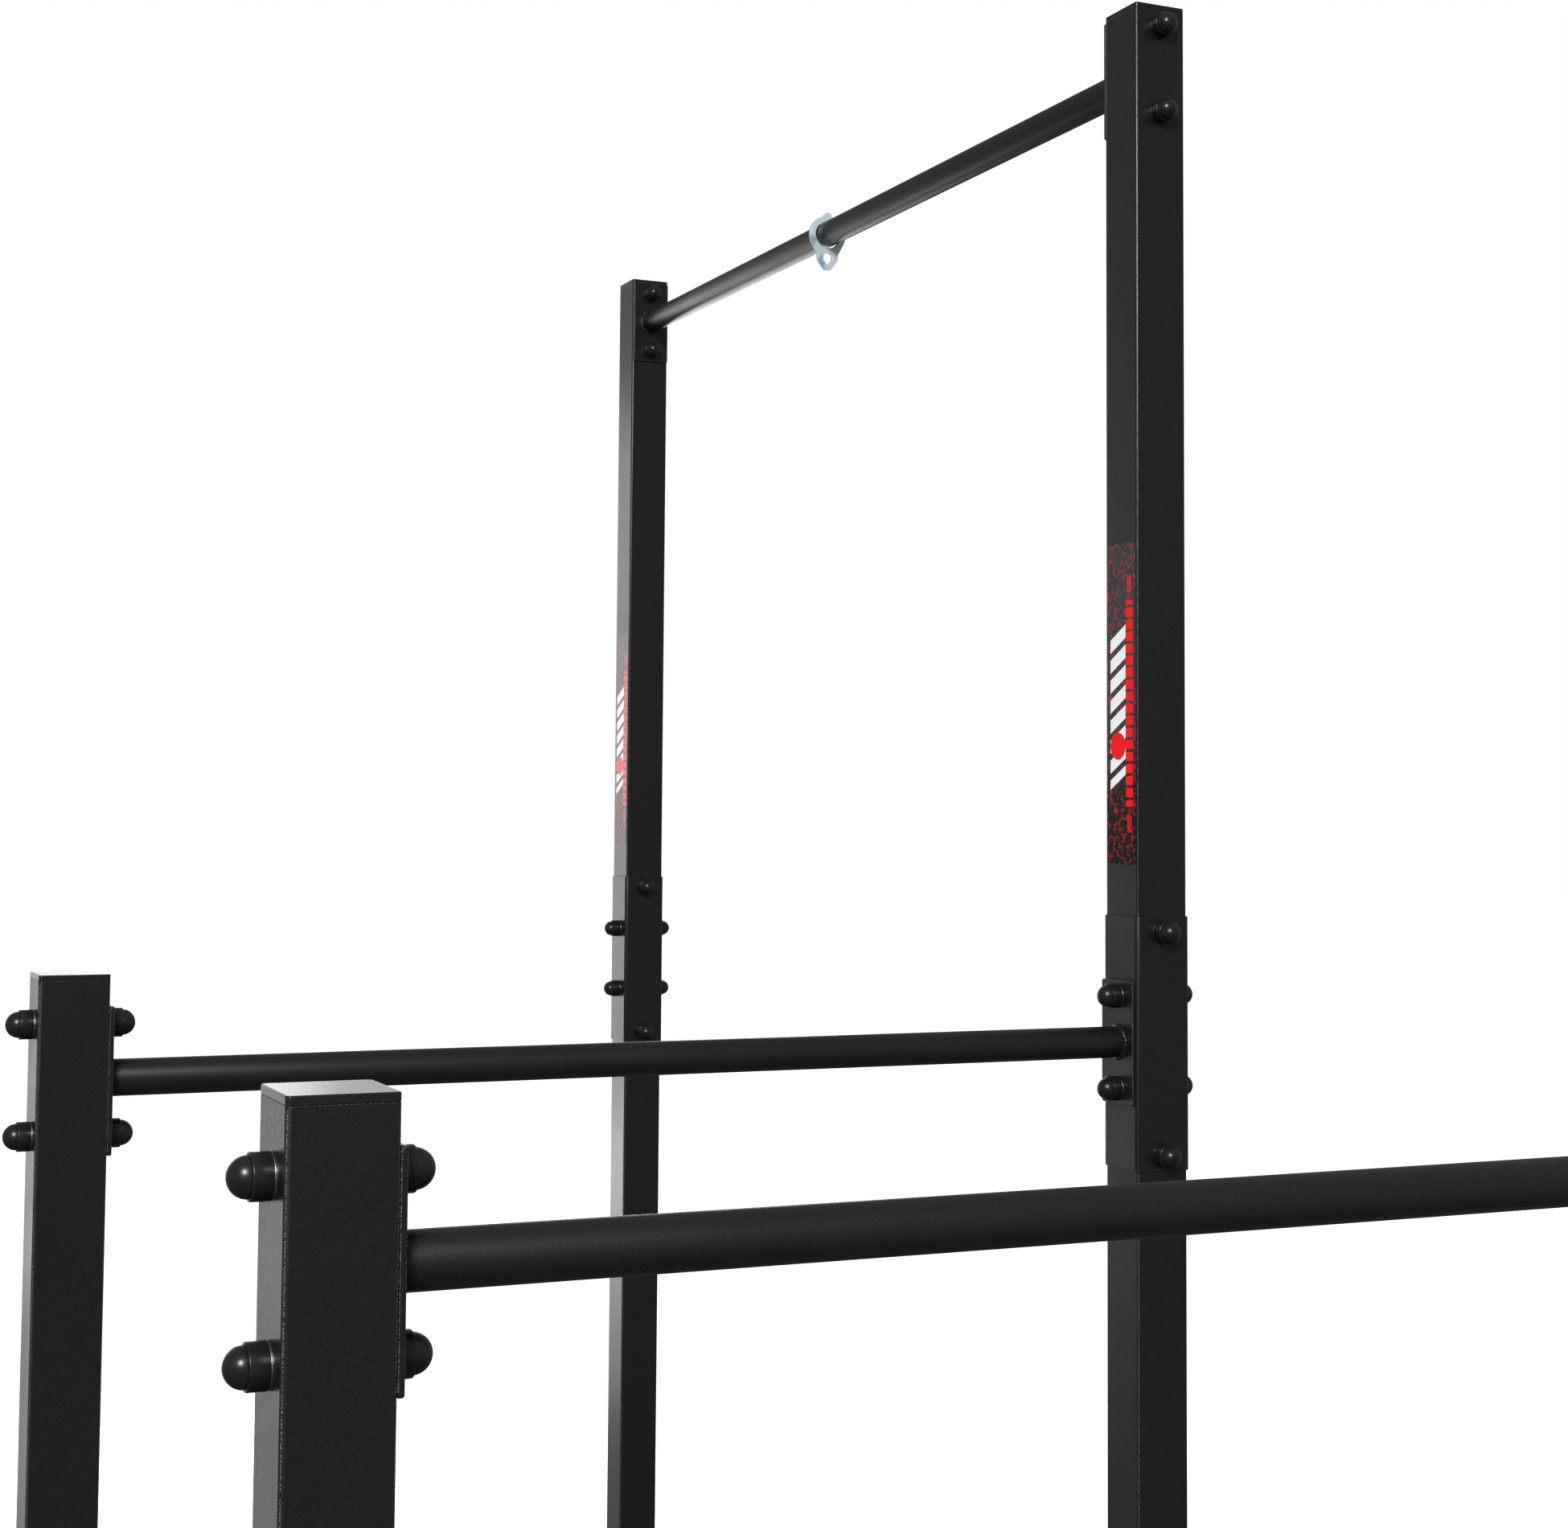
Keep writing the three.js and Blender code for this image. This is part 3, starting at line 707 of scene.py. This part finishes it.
# ---------------------------------------------------------------- bolts and their covers
def cover_profile(skirt):
    """Half section of a cover, outside first: skirt, rounded shoulder, parting groove and dome, then back
    down the inside to the rim."""
    outer, dome = COVER_RADIUS, COVER_DOME
    foot, shoulder, wall, groove = 0.6 * MM, 0.9 * MM, 1.5 * MM, 0.32 * MM
    top = skirt - 0.1 * MM
    profile = [(outer - 0.35 * MM, foot), (outer - 0.08 * MM, foot + 0.12 * MM), (outer, foot + 0.4 * MM)]
    profile += arc((outer - shoulder, top - shoulder), shoulder, 0, math.pi / 2, 6)
    profile += [(dome + 0.14 * MM, top), (dome - groove, skirt - 0.35 * MM), (dome, skirt + 0.12 * MM)]
    profile += arc((0, skirt), dome, math.radians(3), math.pi / 2, 18)
    profile += list(reversed(arc((0, skirt), dome - wall, 0, math.pi / 2, 10)))
    profile += [(outer - wall, skirt - 1.6 * MM), (outer - wall, foot)]
    return profile


def cover_mesh(name, skirt):
    """The dome's two poles are on the axis, where the points of a ring merge into one."""
    rings = [ring(circle(max(radius, 0.0))(), z) for radius, z in cover_profile(skirt)]
    return loft(name, rings, COVER_PLASTIC, wrap=True)


def washer_mesh():
    inner, outer, edge = 6.4 * MM, 12.45 * MM, 0.12 * MM
    return tube("washer", circle(outer), circle(inner), 0, WASHER_THICKNESS, STEEL, edge)


def hexagon(across_flats):
    """A hexagon drawn with as many points as a circle, so that the two loft into each other."""

    def outline(inset=0.0):
        flat = across_flats / 2 - inset
        points = []
        for i in range(ROUND_SIDES):
            angle = 2 * math.pi * i / ROUND_SIDES
            turn = (angle + math.pi / 6) % (math.pi / 3) - math.pi / 6
            reach = flat / math.cos(turn)
            points.append((reach * math.cos(angle), reach * math.sin(angle)))
        return points

    return outline


def threaded(radius, start, end, pitch, depth):
    """Profile points of a thread as rings, from start down to end."""
    points = []
    z = start
    while z - pitch > end:
        points += [(radius, z), (radius - depth, z - pitch / 2)]
        z -= pitch
    return points


def bolt_mesh(name, grip):
    """A hexagon bolt: head above z = 0, shank below it down to the end of its thread."""
    thread, pitch, depth = 24 * MM, 1.75 * MM, 0.55 * MM
    head, end_chamfer = 7.4 * MM, 0.8 * MM
    seat, top = WASHER_THICKNESS, WASHER_THICKNESS + head
    hexagonal = hexagon(HEX_FLATS)

    def round_ring(radius, z):
        return ring(circle(radius)(), z)

    rings = [round_ring(SHANK_RADIUS - end_chamfer, -grip)]
    profile = threaded(SHANK_RADIUS, -grip + thread, -grip + end_chamfer, pitch, depth)
    rings += [round_ring(radius, z) for radius, z in reversed(profile)]
    rings += [round_ring(SHANK_RADIUS, seat), ring(hexagonal(), seat)]
    rings += [ring(hexagonal(), top - HEX_CHAMFER), ring(hexagonal(HEX_CHAMFER), top)]
    return loft(name, rings, STEEL)


def nut_mesh():
    height, play = 7 * MM, 0.05 * MM
    seat, top = WASHER_THICKNESS, WASHER_THICKNESS + height
    outer = hexagon(HEX_FLATS)
    bore = circle(SHANK_RADIUS + play)
    rings = [ring(outer(HEX_CHAMFER), seat), ring(outer(), seat + HEX_CHAMFER)]
    rings += [ring(outer(), top - HEX_CHAMFER), ring(outer(HEX_CHAMFER), top)]
    rings += [ring(bore(), top), ring(bore(), seat)]
    return loft("nut", rings, STEEL, wrap=True)


def make_fasteners():
    """Each CAD bolt and nut node becomes a cover, a washer and the steel piece under the cover. Every bolt
    runs along X or Y. The node's box gives its place."""
    head_cover = cover_mesh("head_cover", HEAD_SKIRT)
    nut_cover = cover_mesh("nut_cover", NUT_SKIRT)
    washer = washer_mesh()
    nut = nut_mesh()
    head_height, nut_height = HEAD_SKIRT + COVER_DOME, NUT_SKIRT + COVER_DOME
    rows = {
        "pull_up_left": "-X",
        "pull_up_right": "+X",
        "sleeve_left_x": "+X",
        "sleeve_right_x": "+X",
        "sleeve_left_y": "-Y",
        "dip_fixed_tall": "+Y",
        "dip_fixed_short": "-Y",
        "dip_free_front": "-Y",
        "dip_free_rear": "+Y",
    }
    opposite = {"+X": "-X", "-X": "+X", "+Y": "-Y", "-Y": "+Y"}
    for row, head_side in rows.items():
        for level in ("upper", "lower"):
            bolt_node, nut_node = f"bolt_{row}_{level}", f"nut_{row}_{level}"
            head_at, shank = face_under(bolt_node, head_side, head_height)
            nut_at, _ = face_under(nut_node, opposite[head_side], nut_height)
            piece(f"{bolt_node}_cover", head_cover, head_at, COVER_SLOT, bolt_node)
            piece(f"{bolt_node}_washer", washer, head_at, ZINC_SLOT, bolt_node)
            piece(f"{bolt_node}_steel", bolt_for(shank), head_at, ZINC_SLOT, bolt_node)
            piece(f"{nut_node}_cover", nut_cover, nut_at, COVER_SLOT, nut_node)
            piece(f"{nut_node}_washer", washer, nut_at, ZINC_SLOT, nut_node)
            piece(f"{nut_node}_steel", nut, nut_at, ZINC_SLOT, nut_node)


def face_under(node, side, height):
    """Where the washer of a fastener lies, facing its cover, and how long the shank behind it is."""
    lo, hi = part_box(node)
    point = (lo + hi) / 2
    index = "XYZ".index(side[1])
    tip = hi[index] if side[0] == "+" else lo[index]
    sign = 1 if side[0] == "+" else -1
    point[index] = tip - sign * height
    return place_at(*point, side), hi[index] - lo[index] - height


bolts_by_length = {}


def bolt_for(grip):
    """One mesh for each length of bolt, rounded to a tenth of a millimetre."""
    key = round(grip * 10000)
    if key not in bolts_by_length:
        bolts_by_length[key] = bolt_mesh(f"bolt_{key}", grip)
    return bolts_by_length[key]


# ---------------------------------------------------------------- hanger plate
def soft_corners(start, corners, end, reach):
    """Points of straight sides through some corners, each rounded off by a curve of the given reach."""
    stops = [Vector(p) for p in (start, *corners, end)]
    points = []
    for before, corner, after in zip(stops, stops[1:], stops[2:]):
        enter = corner + (before - corner).normalized() * reach
        leave = corner + (after - corner).normalized() * reach
        for i in range(SOFT_STEPS + 1):
            t = i / SOFT_STEPS
            points.append(tuple(enter * (1 - t) ** 2 + corner * 2 * t * (1 - t) + leave * t**2))
    return points


def hanger_outline():
    """The plate seen along the bar: a ring round the bar, a small lobe on top and a tapered tab below."""
    ring_radius, lobe_centre, lobe_radius = 26.2 * MM, 25.8 * MM, 5.3 * MM
    tab_half, tab_top, tab_shoulder, softening = 15 * MM, -27 * MM, -34 * MM, 2.6 * MM
    tip_centre, tip_radius = -40.8 * MM, 7.8 * MM
    meet_y = (ring_radius**2 - lobe_radius**2 + lobe_centre**2) / (2 * lobe_centre)
    meet_x = math.sqrt(ring_radius**2 - meet_y**2)
    ring_angle = math.atan2(meet_y, meet_x)
    lobe_angle = math.atan2(meet_y - lobe_centre, meet_x)
    reach = math.hypot(tab_half, tab_top)
    side_angle = math.atan2(tab_top, tab_half) + math.acos(ring_radius / reach)
    drop = tab_shoulder - tip_centre
    tip_angle = math.atan2(drop, tab_half) - math.acos(tip_radius / math.hypot(tab_half, drop))

    tip = arc((0, tip_centre), tip_radius, math.pi - tip_angle, 2 * math.pi + tip_angle, 20)
    left_ring = arc((0, 0), ring_radius, math.pi - ring_angle, math.pi - side_angle, 28)
    right_ring = arc((0, 0), ring_radius, side_angle, ring_angle, 28)
    lobe = arc((0, lobe_centre), lobe_radius, lobe_angle, math.pi - lobe_angle, 16)
    left_corners = [(-tab_half, tab_top), (-tab_half, tab_shoulder)]
    left_side = soft_corners(left_ring[-1], left_corners, tip[0], softening)
    right_corners = [(tab_half, tab_shoulder), (tab_half, tab_top)]
    right_side = soft_corners(tip[-1], right_corners, right_ring[0], softening)
    return right_ring + lobe[1:-1] + left_ring + left_side + tip + right_side


def drop_eye():
    centre, radius, point = -31.4 * MM, 6.8 * MM, -41.4 * MM
    half = math.acos(radius / (centre - point))
    eye = arc((0, centre), radius, -math.pi / 2 + half, 1.5 * math.pi - half, 24)
    return list(reversed([*eye, (0, point)]))


def make_hanger():
    lo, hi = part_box("bar_hanger")
    holes = [hole(HANGER_HOLE, sides=64), drop_eye()]
    mesh = plate("hanger_plate", hanger_outline(), holes, hi.x - lo.x, ZINC, HANGER_EDGE)
    where = place_at(lo.x, (lo.y + hi.y) / 2, PULL_UP_Z - HANGER_DROP, "+X")
    piece("bar_hanger_plate", mesh, where, ZINC_SLOT, "bar_hanger", body="hanger")


# ---------------------------------------------------------------- stickers
def make_stickers():
    edge, corner = 0.08 * MM, 4 * MM

    def outline(inset=0.0):
        return rounded_rect(STICKER_SIZE.x - 2 * inset, STICKER_SIZE.z - 2 * inset, corner - inset)

    rings = [ring(outline(), 0), *rounded_end(outline, STICKER_SIZE.y, 1, edge)]
    bm = bmesh.new()
    add_loft(bm, rings)
    # Lay the film in the XZ plane, so that its own X runs across the print and its own Z up it.
    bmesh.ops.rotate(bm, verts=bm.verts, matrix=Matrix.Rotation(math.pi / 2, 3, "X"))
    mesh = mesh_of(bm, "sticker_film", PRINT)
    for side in ("left", "right"):
        node = f"sticker_{side}"
        lo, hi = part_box(node)
        centre = (lo + hi) / 2
        piece(f"{node}_film", mesh, place_at(centre.x, hi.y, centre.z), STICKER_SLOT, node)


# ---------------------------------------------------------------- stage, light and camera
def make_floor():
    """A pale floor that fades into the white surroundings. It doesn't light the object from below."""
    bm = bmesh.new()
    bmesh.ops.create_circle(bm, cap_ends=True, radius=40, segments=96)
    mesh = bpy.data.meshes.new("floor")
    bm.to_mesh(mesh)
    bm.free()
    s = Shader("floor_paper", roughness=0.9)
    distance = s.nodes.new("ShaderNodeVectorMath")
    distance.operation = "LENGTH"
    s.links.new(s.place, distance.inputs[0])
    fade = s.remap(distance.outputs["Value"], 0.8, 1.95, 0.35, 1.0)
    s.principled.inputs["Base Color"].default_value = (0.8, 0.8, 0.8, 1)
    s.principled.inputs["Specular IOR Level"].default_value = 0.0
    s.principled.inputs["Emission Color"].default_value = (1, 1, 1, 1)
    s.put(fade, s.principled.inputs["Emission Strength"])
    mesh.materials.append(s.material)
    floor = bpy.data.objects.new("floor", mesh)
    bpy.context.scene.collection.objects.link(floor)
    floor.visible_diffuse = False
    floor.visible_glossy = False
    floor.visible_shadow = False


def make_world():
    """White behind the object. What the object reflects is a dim studio with a pale wall at -X."""
    world = bpy.data.worlds.new("studio")
    world.use_nodes = True
    w = Nodes(world.node_tree, "Generated")
    x, y, z = w.split(w.place)
    room = w.remap(z, -0.7, 0.15, 0.09, 0.22)

    def patch(brightness, y_rise, y_fall, z_rise, z_fall):
        """A soft-edged bright patch of the far wall, given by where it rises and falls in y and z."""
        share = w.remap(x, -0.7, -0.3, brightness, 0.0)
        for value, rise, fall in ((y, y_rise, y_fall), (z, z_rise, z_fall)):
            share = w.math("MULTIPLY", share, w.remap(value, *rise))
            share = w.math("MULTIPLY", share, w.remap(value, *fall, 1.0, 0.0))
        return share

    wall = patch(1.45, (-0.34, -0.17), (-0.12, 0.08), (-0.6, -0.05), (0.15, 0.4))
    skyline = patch(1.25, (0.08, 0.18), (0.35, 0.5), (-0.02, 0.05), (0.16, 0.3))
    seen = w.math("ADD", room, w.math("ADD", wall, skyline))
    path = w.nodes.new("ShaderNodeLightPath")
    choose = w.nodes.new("ShaderNodeMix")
    background = w.nodes["Background"]
    w.put(path.outputs["Is Camera Ray"], choose.inputs["Factor"])
    w.put(seen, choose.inputs["A"])
    w.put(1.0, choose.inputs["B"])
    w.put(choose.outputs["Result"], background.inputs["Strength"])
    background.inputs["Color"].default_value = (1, 1, 1, 1)
    bpy.context.scene.world = world


def make_light(name, place, aim, width, height, brightness, shape="RECTANGLE"):
    """An area light that the camera doesn't see. Its brightness doesn't depend on its size."""
    data = bpy.data.lights.new(name, "AREA")
    data.shape = shape
    data.size, data.size_y = width, height
    area = width * height * (math.pi / 4 if shape == "ELLIPSE" else 1)
    data.energy = brightness * area * math.pi
    light = bpy.data.objects.new(name, data)
    bpy.context.scene.collection.objects.link(light)
    light.location = place
    light.rotation_euler = (Vector(aim) - Vector(place)).to_track_quat("-Z", "Y").to_euler()
    light.visible_camera = False


def make_lights():
    """Three upright lights behind the object, for its sides to reflect, and a high flash in front."""
    make_light("back_softbox", (-2.9, 0.0, 1.13), (1.0, 0.0, 1.13), 0.9, 2.28, 1.75)
    make_light("back_strip", (-2.88, -0.15, 0.48), (1.0, -0.15, 0.48), 1.2, 0.3, 1.95)
    make_light("back_panel", (-2.9, 1.35, 1.5), (1.0, 1.35, 1.5), 1.0, 1.6, 3.2)
    make_light("front_flash", (5.5, -3.2, 4.6), (0.2, 0.1, 1.4), 1.8, 1.8, 48.0, "ELLIPSE")


def make_camera():
    data = bpy.data.cameras.new("camera")
    data.sensor_width = 36
    data.lens = 54.95
    data.shift_x = 0.0413
    data.shift_y = -0.0599
    camera = bpy.data.objects.new("camera", data)
    camera.location = (2.4015, -0.8574, 1.3255)
    camera.rotation_euler = [math.radians(a) for a in (93.382, -0.486, 66.655)]
    bpy.context.scene.collection.objects.link(camera)
    bpy.context.scene.camera = camera


make_camera()
make_world()
make_lights()
make_floor()
bpy.context.scene.view_settings.view_transform = "Standard"

make_posts()
make_sleeves()
make_caps()
make_bar("pull_up_bar", "X", PULL_UP_BAR_RADIUS, PULL_UP_BOLT_PITCH)
make_bar("dip_bar_fixed", "Y", DIP_BAR_RADIUS, DIP_BOLT_PITCH)
make_bar("dip_bar_free", "Y", DIP_BAR_RADIUS, DIP_BOLT_PITCH)
make_fasteners()
make_hanger()
make_stickers()
